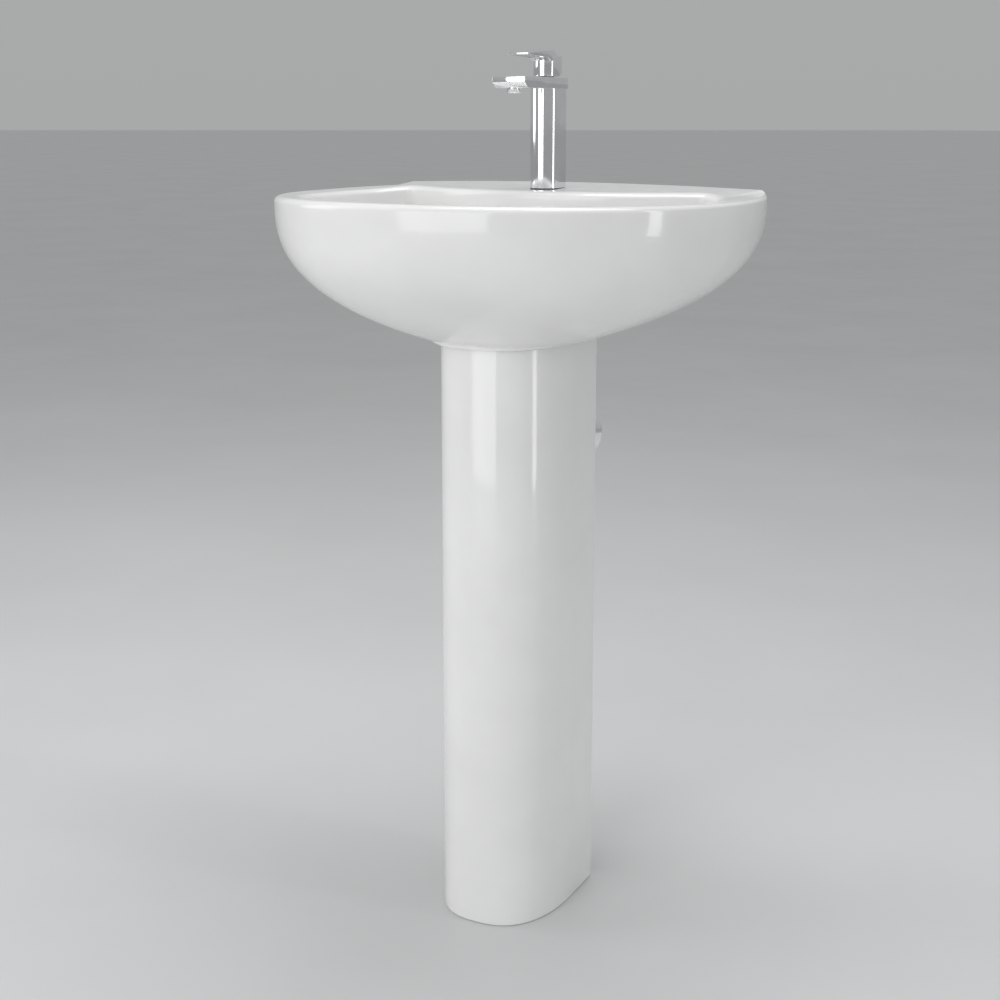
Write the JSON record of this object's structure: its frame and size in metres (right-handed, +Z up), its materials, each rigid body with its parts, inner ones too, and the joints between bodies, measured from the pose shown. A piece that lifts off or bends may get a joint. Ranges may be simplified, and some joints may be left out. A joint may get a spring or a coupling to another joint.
{
  "type": "pedestal wash basin with single-lever mixer tap",
  "caption": "White ceramic wash basin on a full pedestal with a chrome single-lever mixer tap, click waste and bottle trap.",
  "frame": {"origin": "On the floor, at the centre of the pedestal foot web, midway between its two floor screw holes.", "axes": "+Z up from the floor, +Y towards the wall, so the front faces -Y; X runs along the wall and the piece is symmetric about X = 0."},
  "size_m": [0.55, 0.51, 1.033],
  "materials": {
    "glazed_white": "white vitreous china under a clear gloss glaze",
    "polished_chrome": "polished chrome plate",
    "raw_brass": "machined brass",
    "zinc_steel": "zinc-plated steel",
    "black_rubber": "soft matt rubber",
    "pale_plastic": "pale moulded plastic",
    "index_enamel": "small red plug"
  },
  "bodies": {
    "sink_body": {"basin": "glazed_white", "pedestal": "glazed_white", "pedestal_pads": "black_rubber", "wall_studs": "zinc_steel", "stud_bushes": "pale_plastic", "stud_washers": "zinc_steel", "stud_nuts": "zinc_steel", "tap_body": "polished_chrome", "tap_base_seal": "black_rubber", "tap_stud": "zinc_steel", "tap_rubber_washer": "black_rubber", "tap_metal_washer": "zinc_steel", "tap_nut": "raw_brass", "inlet_nipples": "raw_brass", "aerator_housing": "polished_chrome", "aerator_insert": "pale_plastic", "cartridge": "pale_plastic", "cartridge_seal": "black_rubber", "cartridge_nut": "raw_brass", "waste_body": "polished_chrome", "waste_top_seal": "black_rubber", "waste_bottom_seal": "black_rubber", "waste_backnut": "raw_brass", "click_capsule": "raw_brass", "plug_spring": "zinc_steel", "overflow_ring": "polished_chrome", "trap_union_nut": "polished_chrome", "trap_inlet_washer": "black_rubber", "trap_inlet_tube": "polished_chrome", "trap_gland_nut": "polished_chrome", "trap_gland_seal": "black_rubber", "trap_body": "polished_chrome", "trap_cup": "polished_chrome", "trap_cup_seal": "black_rubber", "trap_outlet_nut": "polished_chrome", "trap_outlet_seal": "black_rubber", "trap_outlet_tube": "polished_chrome", "wall_rosette": "polished_chrome"},
    "turret_body": {"cartridge_turret": "pale_plastic", "turret_pin": "zinc_steel"},
    "lever_body": {"cartridge_stem": "zinc_steel", "lever_handle": "polished_chrome", "lever_grub_screw": "zinc_steel", "index_plug": "index_enamel"},
    "plug_body": {"waste_plug": "polished_chrome", "plug_seal": "black_rubber", "plug_stem": "raw_brass"}
  },
  "joints": [
    {"name": "lever_swivel", "type": "hinge", "parent": "sink_body", "child": "turret_body", "pos_m": [0, 0.084, 0.985], "axis": [0, 0, 1], "range_deg": [-45, 45]},
    {"name": "lever_lift", "type": "hinge", "parent": "turret_body", "child": "lever_body", "pos_m": [0, 0.084, 1.004], "axis": [-1, 0, 0], "range_deg": [0, 20]},
    {"name": "plug_click", "type": "slide", "parent": "sink_body", "child": "plug_body", "axis": [0, 0, 1], "range_m": [0, 0.008], "deforming": ["plug_spring"]}
  ]
}
